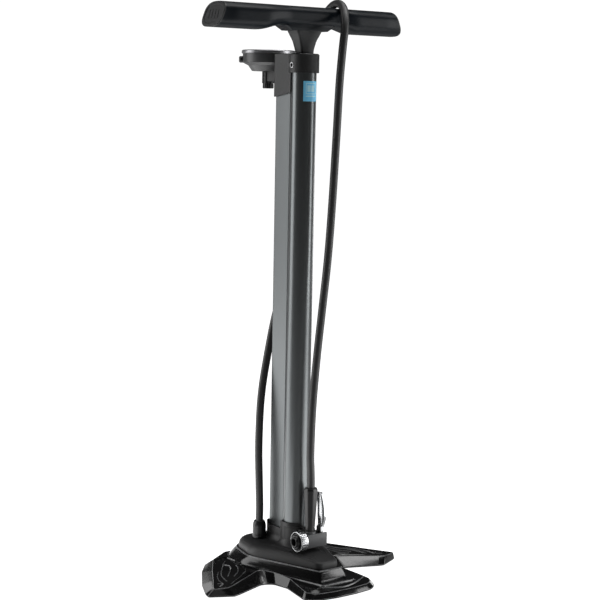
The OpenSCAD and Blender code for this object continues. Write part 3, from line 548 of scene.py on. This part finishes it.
def make_base():
    top, hollow = rounded(TOP, 8), rounded(inset(STEP, 7), 8)
    loops = [top] + [rounded(inset(TOP, d), 8) for d in (0.7, 3, 6, 9)]
    loops += [rounded(inset(LEDGE, d), 8) for d in (0, 0.8)] + [rounded(inset(WALL, d), 8) for d in (-0.15, 0, 0.4)]
    loops += [rounded(between_walls(t), 8) for t in (0.2, 0.4, 0.6, 0.8, 0.93)]
    loops += [rounded(inset(STEP, d), 8) for d in (0, 0.8, 2)] + [hollow]
    for corners in PLATES:
        loops += [rounded(corners, 6), rounded(inset(corners, 0.6), 6)]
    for line, wide in PLATE_RIBS:
        for side in (line, mirrored(line)):
            loops += [thick_line(side, wide), thick_line(side, wide - 0.9)]
    loops += [thick_line(FRONT_LINE, 1.5), thick_line(FRONT_LINE, 0.6)]
    bm = bmesh.new()
    relief_sheet(bm, loops, 4.5, lambda p: (depth_inside(p, top) > 0) & (depth_inside(p, hollow) < 0), base_height)
    feet = rounded(FEET, 8)
    heights = base_height(top * 0.99999)
    rows = [at_height(feet, FOOT_EDGE)]
    for t in (0.05, 0.09, 0.5, 0.9, 0.96):
        lean = 0.35 * sin(pi * t)
        ring = feet + (top - feet) * t * (1 - lean * 0.2)
        rows.append([(x, y, z) for (x, y), z in zip(ring, 2.4 + (heights - 2.4) * t)])
    rows.append([(x, y, z) for (x, y), z in zip(top, heights)])
    add_rings(bm, rows, (False, False))
    lower = rounded(inset(FEET, 1), 8)
    add_rings(bm, [at_height(lower, FLOOR_GAP), at_height(feet, FOOT_EDGE)], (False, False))
    add_rings(bm, [at_height(hollow, FLOOR_GAP), at_height(hollow, STEP_TOP)], (False, False))
    # Rims, ribs and the lowest edge take a paler, glossier material as painted highlight lines along the edges.
    highlight_bands = [rounded(loop, 8) for loop in (TOP, inset(TOP, 0.7), between_walls(0.93), inset(STEP, 0.8), LEDGE,
                                            inset(LEDGE, 0.8))]

    def between(point, outer, inner):
        return depth_inside(point, outer)[0] > 0 > depth_inside(point, inner)[0]

    for face in bm.faces:
        middle = np.array([tuple(face.calc_center_median())])
        flat = middle[:, :2]
        low = FOOT_EDGE < middle[0, 2] < 2.9
        if low or any(between(flat, *highlight_bands[k:k + 2]) for k in (0, 2, 4)) \
                or any(depth_inside(flat, line)[0] > 0 for line in PLATE_LINES + BANDS):
            face.material_index = 1
    pads = [rounded(inset(c, -0.15), 6) for c in (SIDE_PAD, other_side(SIDE_PAD), FRONT_PAD)]
    wider = [rounded(inset(c, -0.25), 6) for c in (SIDE_PAD, other_side(SIDE_PAD), FRONT_PAD)]

    def floor_height(p):
        z = np.full(len(p), FLOOR_GAP)
        for pad in pads:
            z[depth_inside(p, pad) > -0.02] = 3.15
        return z

    relief_sheet(bm, [lower, hollow] + pads + wider, 12,
                 lambda p: (depth_inside(p, lower) > 0) & (depth_inside(p, hollow) < 0), floor_height, flip=True)
    return finish_mesh(bm, "foot_frame", "gloss_black", nodes=("base_frame",), sharp=24, edges="painted_edge_highlight")


make_base()

# ---- cover and socket ----

SOCKET_R = 17.6
COVER_START = 2.6
COVER_FOOT = 25.1
# Height of the cover against the distance in from a line COVER_START outside its edge.
COVER_PROFILE = [(COVER_START, COVER_FOOT), (2.7, 27.2), (3.1, 29.8), (4.1, 32.4), (6.2, 34.9), (9, 36.6), (13, 37.8),
                 (19, 38.7), (26, 39)]


def socket_outline(grow=0.0, steps=6):
    """Front arc, straight sides and rounded back, from the right-hand crease round to the front."""
    side, back, r, front = 15 + grow, 43 + grow, 5 + grow, SOCKET_R + grow
    crease = sqrt(front ** 2 - side ** 2)
    points = [(side, y) for y in (crease, crease + 1.2, crease + 2, 14, 18, 24, 30, 36)]
    points += [(side - r + r * cos(a), back - r + r * sin(a)) for a in np.linspace(0, pi / 2, steps + 1)]
    points += [(x, back) for x in (6, 2, -2, -6)]
    points += [(-side + r + r * cos(a), back - r + r * sin(a)) for a in np.linspace(pi / 2, pi, steps + 1)]
    points += [(-side, y) for y in (36, 30, 24, 18, 14, crease + 2, crease + 1.2)]
    start = pi - atan2(crease, side)
    points += [(front * cos(a), front * sin(a)) for a in np.linspace(start, 3 * pi - start, 49)[:-1]]
    return np.array(points)


COVER = [(-14.5, -68.5, 10), (14.5, -68.5, 10), (50, 24, 34), (39.6, 74, 22), (-39.6, 74, 22), (-50, 24, 34)]


def cover_height(p):
    """Height of the cover's shell, cut by the sloping nose and swept up to the socket."""
    inside = depth_inside(p, rounded(COVER, 10))
    at, z = zip(*COVER_PROFILE)
    high = np.interp(inside + COVER_START, at, z)
    nose = 39.2 + (p[:, 1] + 16) * tan(radians(8))
    gap = np.clip(1 - np.abs(high - nose) / 3, 0, 1)
    high = np.minimum(high, nose) - 0.6 * gap ** 2
    outside = -depth_inside(p, socket_outline())
    high += np.where(inside > 4, 8 * np.clip(1 - outside / 6.5, 0, 1) ** 2.2, 0)
    return np.maximum(high, COVER_FOOT)


def make_cover():
    edge = rounded(COVER, 10)
    loops = [edge] + [rounded(inset(COVER, d - COVER_START), 10) for d, _ in COVER_PROFILE[1:-1]]
    loops += [rounded(inset(COVER, d), 10) for d in (1, 2.4, 4.9, 8.4, 13.4)]
    loops += [socket_outline(g) for g in (-0.5, 0.6, 1.4, 2.5, 4, 6.5)]
    bm = bmesh.new()
    relief_sheet(bm, loops, 3, lambda p: depth_inside(p, edge) > 0, cover_height)
    add_rings(bm, [at_height(edge, 25.05), at_height(edge, COVER_FOOT)], (True, False))
    return finish_mesh(bm, "cover_shell", "dark_grey_plastic", nodes=("pedestal_cover",), sharp=50)


def rim_height(x, y):
    """Height of the socket's rim, highest at the front left and the front of the sides, lowest further back."""
    if y > 38.5:
        return 60.5
    if y > 11:
        return 56.2
    if y < -6 and x > -8:
        return 67 - 6.5 * float(ease(-8, 4, x))
    return 67


def make_socket():
    outer, middle, inner = socket_outline(), socket_outline(-0.7), socket_outline(-2.2)
    tops = [rim_height(x, y) for x, y in outer]

    def lip(grow, drop):
        wider = socket_outline(grow)
        share = [float(ease(1, -7, y)) for _, y in outer]
        return [(x + (u - x) * w, y + (v - y) * w, z - drop)
                for (x, y), (u, v), w, z in zip(outer, wider, share, tops)]

    bm = bmesh.new()
    add_rings(bm, [
        at_height(socket_outline(-1), 33), at_height(outer, 42),
        lip(0, 5.4), lip(1.1, 4.8), lip(1.3, 4.3), lip(0.9, 2.2), lip(0.2, 1.1),
        [(x, y, z - 0.7) for (x, y), z in zip(outer, tops)],
        [(x, y, z - 0.15) for (x, y), z in zip(socket_outline(-0.25), tops)],
        [(x, y, z) for (x, y), z in zip(middle, tops)],
        [(x, y, z) for (x, y), z in zip(inner, tops)],
        at_height(inner, 44.5),
    ])
    return finish_mesh(bm, "barrel_socket", "dark_grey_plastic", nodes=("pedestal_cover",), sharp=35)


make_cover()
make_socket()

# ---- handle ----

HALF = 132
HANDLE_TOP = 680
WAIST = 23.5
GRIP = 29
GRIP_WIDTH = 44
WAIST_HALF = 17.5
END_LEAN = 5.5


def bar_ring(x, sides=96, shrink=0.0):
    """The grip's section at x: wide grips, a waist in the middle, and ends that lean in at the top."""
    u = min(1, abs(x) / HALF)
    swell = (GRIP_WIDTH / 2 - WAIST_HALF) * float(ease(0.22, 0.5, u))
    a = WAIST_HALF + swell - 1.2 * float(ease(0.8, 1, u)) - shrink
    low = HANDLE_TOP - WAIST - (GRIP - WAIST) * float(ease(0.3, 0.52, u))
    middle, b = (HANDLE_TOP + low) / 2, (HANDLE_TOP - low) / 2 - shrink
    lean = END_LEAN * float(ease(0.75, 1, u)) * (1 if x > 0 else -1)
    ring = []
    for k in range(sides):
        t = 2 * pi * k / sides
        c, s = cos(t), sin(t)
        y = a * np.sign(c) * abs(c) ** 0.7
        z = b * np.sign(s) * abs(s) ** 0.7
        ring.append((x - lean - lean * z / (b + shrink), y, middle + z))
    return ring


def make_handle():
    bm = bmesh.new()
    xs = np.linspace(-HALF + 2.3, HALF - 2.3, 110)
    rings = [bar_ring(xs[0] - 0.05, shrink=0.5)] + [bar_ring(x) for x in xs] + [bar_ring(xs[-1] + 0.05, shrink=0.5)]
    add_rings(bm, rings)
    boss = [(-34.5, -13.2, 3), (34.5, -13.2, 3), (34.5, 13.2, 3), (-34.5, 13.2, 3)]
    foot = [(-26.5, -12.6, 3), (26.5, -12.6, 3), (26.5, 12.6, 3), (-26.5, 12.6, 3)]
    add_rings(bm, [at_height(rounded(inset(foot, 0.6)), 652), at_height(rounded(foot), 652.6),
                   at_height(rounded(boss), 657.2), at_height(rounded(boss), 666)])
    finish_mesh(bm, "grip_bar", "handle_black", "handle", ("handle_bar",), sharp=38)
    for s, name in ((-1, "left"), (1, "right")):
        bm = bmesh.new()
        ends = [bar_ring(s * (HALF - 2.2)), bar_ring(s * (HALF - 0.5)), bar_ring(s * (HALF - 0.1), shrink=0.45)]
        ends += [bar_ring(s * HALF, shrink=d) for d in (1.6, 3.2, 3.6)]
        ends += [bar_ring(s * (HALF - 0.7), shrink=d) for d in (4.2, 9, 11)]
        add_rings(bm, ends)
        low = HANDLE_TOP - GRIP
        middle, b = (HANDLE_TOP + low) / 2, (HANDLE_TOP - low) / 2

        def on_face(y, z, out):
            return (s * (HALF - 0.9 + out) - s * END_LEAN * (1 + (z - middle) / b), y, z)

        for k in range(4):
            y0 = -11 + 6 * k
            line = [(y0, middle - 5), (y0 + 2.4, middle - 5), (y0 + 4.6, middle + 5), (y0 + 2.2, middle + 5)]
            add_rings(bm, [[on_face(y, z, 0) for y, z in line], [on_face(y, z, 0.65) for y, z in line]])
        finish_mesh(bm, f"grip_end_{name}", "neck_grey", "handle", (f"end_cap_{name}",), sharp=30)


def make_neck():
    shape = [(17.7, 11.2, 652.2), (17.4, 11.0, 650.8), (15.2, 10.2, 646.5), (13.4, 9.3, 643), (11.9, 8.7, 639.5),
             (10.4, 8.1, 634), (9.2, 7.6, 629.5), (8.8, 7.4, 627.2), (8.2, 6.9, 626.6)]
    rings = [at_height(rounded([(-a, -b, 2.6), (a, -b, 2.6), (a, b, 2.6), (-a, b, 2.6)], 5), z)
             for a, b, z in shape]
    bm = bmesh.new()
    add_rings(bm, rings[::-1])
    finish_mesh(bm, "neck", "neck_grey", "handle", ("handle_neck",), sharp=30)


make_handle()
make_neck()

# ---- pump head ----

HEAD = (-30, 50)  # y and z of the cap's axis
HEAD_PLACE = move(0, HEAD[0], HEAD[1]) @ ALONG_X


def make_head():
    """The fluted clamp ring and the cap inside it, hexagonal with a round mouth."""

    def grooves(a, r, z):
        return r - (0.45 if r > 11.5 and (a * 18 / pi) % 2 < 0.7 and -20 < z < -12 else 0)

    def hexagon(r):
        return [(r * cos(pi / 3 * k + pi / 6), r * sin(pi / 3 * k + pi / 6), 1.2) for k in range(6)]

    ring = [(7.6, -10.1, 0), (11.6, -10.1, 0.6), (12.2, -10.9, 0.4), (12.2, -19.4, 0.8), (11.7, -20.2, 0.4),
            (11.1, -20.2, 0.3), (10.9, -19.6, 0.3), (10.9, -12.1, 0.3), (7.6, -12.1, 0), (7.6, -10.1, 0)]
    use_second(lathe("clamp_ring", ring, "chrome", HEAD_PLACE, sides=144, flute=grooves, nodes=("head_ring",),
                     edges="bright_steel"))
    bm = bmesh.new()
    flange = [(7.6, -15.2, 0), (10.7, -15.2, 0.2), (10.7, -18.6, 0.8), (9.6, -19.2, 0.4), (7.6, -19.2, 0),
              (7.6, -15.2, 0)]
    add_lathe(bm, flange, HEAD_PLACE)
    rings = []
    for r, x in ((8.9, -15.2), (9.2, -15.8), (9.2, -21.9), (8.6, -22.3)):
        rings.append([HEAD_PLACE @ Vector((p[0], p[1], x)) for p in rounded(hexagon(r), 3)])
    for r, x in ((6.7, -22.3), (6.5, -22.6), (6.4, -24.1), (6.0, -24.5),
                 (5.4, -24.5), (4.6, -24.1), (4.2, -23.2), (4.2, -16.4)):
        rings.append([HEAD_PLACE @ Vector((r * cos(a), r * sin(a), x))
                      for a in (2 * pi * k / 24 + pi / 6 - pi / 8 for k in range(24))])
    add_rings(bm, rings)
    finish_mesh(bm, "valve_cap", "black_plastic", nodes=("head_cap",), sharp=30)


def make_lever():
    """A bowed channel of sheet metal, hub and arm, at rest beside the hose fitting."""
    pivot_x = 12
    deep, y0 = 4.3, HEAD[0]
    across = [-1, -0.7, -0.35, 0, 0.35, 0.7, 1]
    bm = bmesh.new()
    rings = []
    for k in range(25):
        t = 0.02 + 0.98 * k / 24
        x = pivot_x + 5.7 + 3.0 * sin(pi * t) - 1.6 * t
        z = HEAD[1] + 8.7 + 47.3 * t
        swell = (1.1 + 1.2 * sin(pi * min(1, t * 1.1) ** 0.8)) * float(ease(0.12, 0.42, t))
        wide = 4.7 + swell - 0.6 * float(ease(0.9, 1, t))
        section = [(x - deep, y0 - wide)]
        section += [(x - 0.9 * abs(u) ** 3, y0 + wide * u * (0.98 if abs(u) == 1 else 1)) for u in across]
        section += [(x - deep, y0 + wide), (x - deep, y0 + wide - 1)]
        section += [(x - 1 - 1.6 * u * u, y0 + (wide - 1.1) * u) for u in reversed(across)]
        section += [(x - deep, y0 - wide + 1)]
        rings.append([(sx, sy, z) for sx, sy in section])
    add_rings(bm, rings)
    hub = move(pivot_x, HEAD[0] + 4.7, HEAD[1]) @ Matrix.Rotation(radians(90), 4, "X")
    add_lathe(bm, [(0, 0, 0), (4.4, 0, 0.4), (4.4, 9.4, 0.4), (0, 9.4, 0)], hub, 40)
    add_rings(bm, [at_height(rounded([(pivot_x + 0.4, -34.6, 0.6), (pivot_x + 4.2, -34.6, 0.6),
                                      (pivot_x + 4.2, -25.4, 0.6), (pivot_x + 0.4, -25.4, 0.6)], 3), z)
                   for z in (HEAD[1] + 0.5, HEAD[1] + 14.5)])
    # Small rim faces of the channel get dark steel as painted dark reflection outlines; all other faces take bright
    # steel.
    for face in bm.faces:
        middle = face.calc_center_median()
        rim = abs(middle.y - HEAD[0]) > 4.6 and face.calc_area() < 3.4 and abs(face.normal.x) > 0.8
        face.material_index = 2 if rim else 1
    lever = finish_mesh(bm, "clamp_lever", "chrome", "lever", ("head_lever",), sharp=30, edges="bright_steel")
    lever.data.materials.append(MATERIALS["painted_dark_rim_steel"])


def make_head_block():
    """The block that holds the cap, with the lever's slot in its right end."""
    x0, x1, y0, z0, h = -10, 20, HEAD[0], HEAD[1], 8
    outline = [(x0, y0 - h, 1), (x1, y0 - h, 1), (x1, y0 - 5, 0.6), (5.5, y0 - 5, 0.8), (5.5, y0 + 5, 0.8),
               (x1, y0 + 5, 0.6), (x1, y0 + h, 1), (x0, y0 + h, 1)]
    bm = bmesh.new()
    rows = [(-h, 0.8), (-h + 0.25, 0.25), (-h + 0.8, 0), (h - 0.8, 0), (h - 0.25, 0.25), (h, 0.8)]
    made = add_rings(bm, [at_height(rounded(inset(outline, d), 4), z0 + z) for z, d in rows], (False, False))
    n = len(made[0])
    for ring, flip in ((made[0], True), (made[-1], False)):
        flat = [Vector(v.co[:2]) for v in ring]
        _, _, faces, _, _, _ = delaunay_2d_cdt(flat, [(i, (i + 1) % n) for i in range(n)], [], 1, 1e-5)
        for f in faces:
            corners = [ring[i] for i in f]
            bm.faces.new(corners[::-1] if flip else corners)
    add_lathe(bm, [(0, 56, 0), (7.0, 56, 0.2), (7.0, 59.2, 1.2), (6.4, 60.5, 0.4), (0, 60.5, 0)], move(0, y0, 0), 48)
    add_lathe(bm, [(0, -15, 0), (7.4, -15, 0.3), (7.4, -9.8, 0.3), (0, -9.8, 0)], HEAD_PLACE, 48)
    finish_mesh(bm, "head_block", "head_grey", nodes=("head_body",), sharp=30)


SCREW_HEIGHT = 612.6


def make_side_screws():
    """The two screws in the sides of the collar, their hexagon sockets painted black as painted shade."""
    turns = [2 * pi * k / 36 for k in range(36)]
    head = ((2.0, 15.2), (2.0, 15.7), (3.4, 15.75), (3.5, 16), (3.5, 17.6), (3.15, 18), (2.6, 18), (2.35, 17.85))
    socket = ((2.2, 17.7), (2.2, 16.5), (0.4, 16.4))

    def six(r, a):
        return r / cos((a + pi / 6) % (pi / 3) - pi / 6) * 0.9

    for s, name in ((-1, "left"), (1, "right")):
        place = move(0, 0, SCREW_HEIGHT) @ Matrix.Rotation(radians(90 * s), 4, "Y")
        bm = bmesh.new()
        rings = [[place @ Vector((r * cos(a), r * sin(a), x)) for a in turns] for r, x in head]
        rings += [[place @ Vector((six(r, a) * cos(a), six(r, a) * sin(a), x)) for a in turns] for r, x in socket]
        add_rings(bm, rings)
        # The socket's faces take black plastic: painted shade in the recess.
        for face in bm.faces:
            reach = place.inverted() @ face.calc_center_median()
            if Vector(reach[:2]).length < 2.2 and reach[2] > 16.2:
                face.material_index = 1
        finish_mesh(bm, f"side_screw_{name}", "steel", nodes=("collar_screws",), sharp=30, edges="black_plastic")


def barrel_patch(bm, a0, a1, z0, z1, r0, r1):
    """A thin plate bent round the barrel."""
    steps = max(2, int(abs(a1 - a0) / 4))
    rings = []
    for k in range(steps + 1):
        a = radians(a0 + (a1 - a0) * k / steps)
        rings.append([(r * cos(a), r * sin(a), z) for r, z in ((r0, z0), (r1, z0 + 0.1), (r1, z1 - 0.1), (r0, z1))])
    add_rings(bm, rings)


def make_label_bars():
    """A frame, two blocks and a line in the label's lighter blue."""
    low = Vector(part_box("barrel_label")[0]) / MM
    bm = bmesh.new()
    reach = 15.02
    for a0, a1, z0, z1 in ((-116, -62, 20.2, 21.2), (-116, -113, 8.6, 21), (-66, -62, 8.6, 21),
                           (-109, -94, 11, 18.4), (-89, -72, 11, 18.4), (-116, -62, 8.2, 9.2), (-116, -62, 5.2, 6.6)):
        barrel_patch(bm, a0, a1, low.z + z0, low.z + z1, reach, max(-low.y, 15.2) + 0.03)
    use_second(finish_mesh(bm, "label_bars", "blue_label", sharp=30, edges="label_light"))


TICKS_R = 26.6
NUMBERS_R = 19.5
DIAL_START, DIAL_SWEEP = -135, 270


def make_dial_marks():
    """The dial's ticks and its plain numbers."""
    low, high = (Vector(c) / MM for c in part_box("gauge_dial"))
    middle, z = Vector(((low.x + high.x) / 2, (low.y + high.y) / 2, 0)), high.z
    bm = bmesh.new()
    for k in range(49):
        a = radians(DIAL_START + DIAL_SWEEP * k / 48)
        long = 3.6 if k % 8 == 0 else (2.6 if k % 4 == 0 else 1.6)
        wide = 0.32 if k % 8 == 0 else 0.16
        out = Vector((sin(a), cos(a), 0))
        side = Vector((cos(a), -sin(a), 0)) * wide
        outer, inner = middle + out * TICKS_R, middle + out * (TICKS_R - long)
        corners = [outer - side, outer + side, inner + side * 0.7, inner - side * 0.7]
        add_rings(bm, [[c + Vector((0, 0, z + rise)) for c in corners] for rise in (-0.05, 0.06)])
    finish_mesh(bm, "dial_ticks", "black_plastic", sharp=30)
    for k in range(7):
        a = radians(DIAL_START + 45 * k)
        letters = bpy.data.curves.new(f"dial_number_{k}", "FONT")
        letters.body = str(2 * k)
        letters.size = 5.2 * MM
        letters.extrude = 0.05 * MM
        letters.align_x = letters.align_y = "CENTER"
        shown = bpy.data.objects.new(f"dial_number_{k}", letters)
        shown.location = (middle + Vector((sin(a), cos(a), 0)) * NUMBERS_R + Vector((0, 0, z))) * MM
        bpy.context.scene.collection.objects.link(shown)
        letters.materials.append(MATERIALS["black_plastic"])
        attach(shown, "pump")


make_head()
make_head_block()
make_lever()
make_side_screws()
make_label_bars()
make_dial_marks()
for name, slot in (("gauge_bezel", "bezel_grey"), ("gauge_housing", "housing_grey"), ("lever_pin", "head_grey")):
    frame["nodes"][name].data.materials[0] = MATERIALS[slot]

# ---- gland ----

lathe("gland", [(0, 32.4, 0), (5, 32.4, 0.4), (5, 39.1, 0.1), (8.2, 39.1, 0.5), (8.3, 43, 0.6), (8.0, 44, 0.4),
                (8.2, 45, 0.6), (8.2, 55, 2), (7.4, 58, 1.5), (6.4, 60.4, 0.7), (5.0, 60.5, 0.2), (0, 60.5, 0)],
      "black_plastic", move(-24.5, 42, 0), nodes=("hose_gland",))

# ---- light and floor ----


def make_light(name, at, aim, size, power, color=(1, 1, 1)):
    data = bpy.data.lights.new(name, "AREA")
    data.shape = "RECTANGLE"
    data.size, data.size_y = size
    data.energy = power
    data.color = color
    light = bpy.data.objects.new(name, data)
    light.location = at
    light.visible_camera = False
    light.rotation_euler = (Vector(aim) - Vector(at)).to_track_quat("-Z", "Y").to_euler()
    bpy.context.scene.collection.objects.link(light)


def make_card(name, at, azimuth, size, power):
    """A bright card on the floor that faces up, its length along the azimuth."""
    make_light(name, (*at, 0.012), (*at, 1), size, power)
    bpy.data.objects[name].rotation_euler = (pi, 0, radians(azimuth))


BACKDROP = 1.05


def show_bright(tree, strength, for_light):
    """Sets a strength to BACKDROP where the camera sees it, and to for_light where it only lights."""
    ray = node(tree, "ShaderNodeLightPath")
    level = node(tree, "ShaderNodeMapRange")
    level.inputs["To Min"].default_value = for_light
    level.inputs["To Max"].default_value = BACKDROP
    tree.links.new(ray.outputs["Is Camera Ray"], level.inputs["Value"])
    tree.links.new(level.outputs["Result"], strength)


def make_studio():
    """A pale floor, a pale world and soft lights."""
    bpy.ops.mesh.primitive_plane_add(size=12, location=(0, 0, 0))
    floor = bpy.context.active_object
    floor.name = "floor"
    paper = material("floor_paper", (0.55, 0.55, 0.55), 0.8, grain=60, bump=0.02, vary=0.01, spread=0.03)
    surface = paper.node_tree.nodes["Principled BSDF"]
    surface.inputs["Emission Color"].default_value = (1, 1, 1, 1)
    show_bright(paper.node_tree, surface.inputs["Emission Strength"], 0.05)
    floor.data.materials.append(paper)
    floor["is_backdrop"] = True
    world = bpy.data.worlds.new("studio")
    world.use_nodes = True
    back = world.node_tree.nodes["Background"]
    back.inputs["Color"].default_value = (1, 1, 1, 1)
    show_bright(world.node_tree, back.inputs["Strength"], 0.03)
    bpy.context.scene.world = world
    bpy.context.scene.view_settings.view_transform = "Standard"
    make_light("left", (-1.5, 1.15, 0.8), (0, 0, 0.35), (1.1, 1.8), 20)
    make_light("right", (1.45, -1.2, 0.65), (0, 0, 0.35), (0.8, 1.1), 16)
    make_light("rim", (1.9, 0.75, 0.3), (0, 0, 0.1), (0.4, 0.4), 2)
    make_light("back", (0.15, 2.2, 0.35), (0, 0, 0.1), (0.6, 0.6), 1.2)
    make_light("above", (0.41, -0.24, 1.5), (0.08, -0.03, 0), (0.4, 0.4), 2.4)
    make_light("glint", (0.9, -0.24, 1.3), (0, -0.03, 0.05), (0.4, 0.4), 1.5)
    make_light("top", (0.3, 0.05, 2.4), (0, 0, 0), (1.8, 1.8), 22)
    make_card("left_card", (-0.62, 0.86), 126, (2.0, 0.8), 9)
    make_card("right_card", (0.58, -0.56), -42, (1.2, 0.5), 5)


make_studio()


def plain(value):
    return float(value) if isinstance(value, (int, float)) else [plain(v) for v in value]


visual_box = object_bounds()
{"cad": plain(cad_box), "visual": plain(visual_box)}
